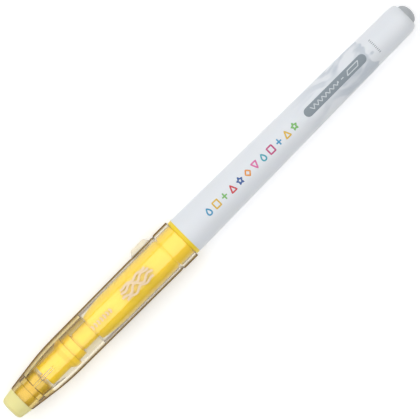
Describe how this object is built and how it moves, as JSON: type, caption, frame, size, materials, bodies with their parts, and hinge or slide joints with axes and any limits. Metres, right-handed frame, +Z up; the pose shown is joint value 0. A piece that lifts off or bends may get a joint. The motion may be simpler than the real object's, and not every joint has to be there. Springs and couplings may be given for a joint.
{
  "type": "highlighter",
  "caption": "Capped felt-tip marker: white tapered barrel, yellow grip, clear cap with a roll lug and an eraser on its end; the cap slides off.",
  "frame": {"origin": "on the pen's axis, at the plane of the cap's mouth, where the cap meets the collar", "axes": "+X along the pen towards the tail plug, the eraser end is at -X; +Y towards the roll lug on the cap; +Z up, the side that carries the print"},
  "size_m": [0.141, 0.0126, 0.0116],
  "materials": {
    "clear_plastic": "clear with a faint warm tint, polished",
    "yellow_plastic": "opaque yellow, smooth moulded",
    "eraser_rubber": "pale yellow, matt, firm",
    "nib_felt": "bonded fibre soaked with yellow ink",
    "ink_fibre": "fibre bundle soaked with yellow ink",
    "clear_film": "thin clear wrap",
    "white_plastic": "opaque white, smooth moulded, printed",
    "grey_plastic": "light grey, satin moulded"
  },
  "bodies": {
    "pen": {"barrel": "white_plastic", "front_section": "yellow_plastic", "nib": "nib_felt", "ink_reservoir": "ink_fibre", "reservoir_film": "clear_film", "tail_plug": "grey_plastic"},
    "cap": {"cap_shell": "clear_plastic", "inner_cap": "yellow_plastic", "eraser": "eraser_rubber"}
  },
  "joints": [
    {"name": "cap_pull", "type": "slide", "parent": "pen", "child": "cap", "axis": [-1, 0, 0], "range_m": [0, 0.06]}
  ]
}
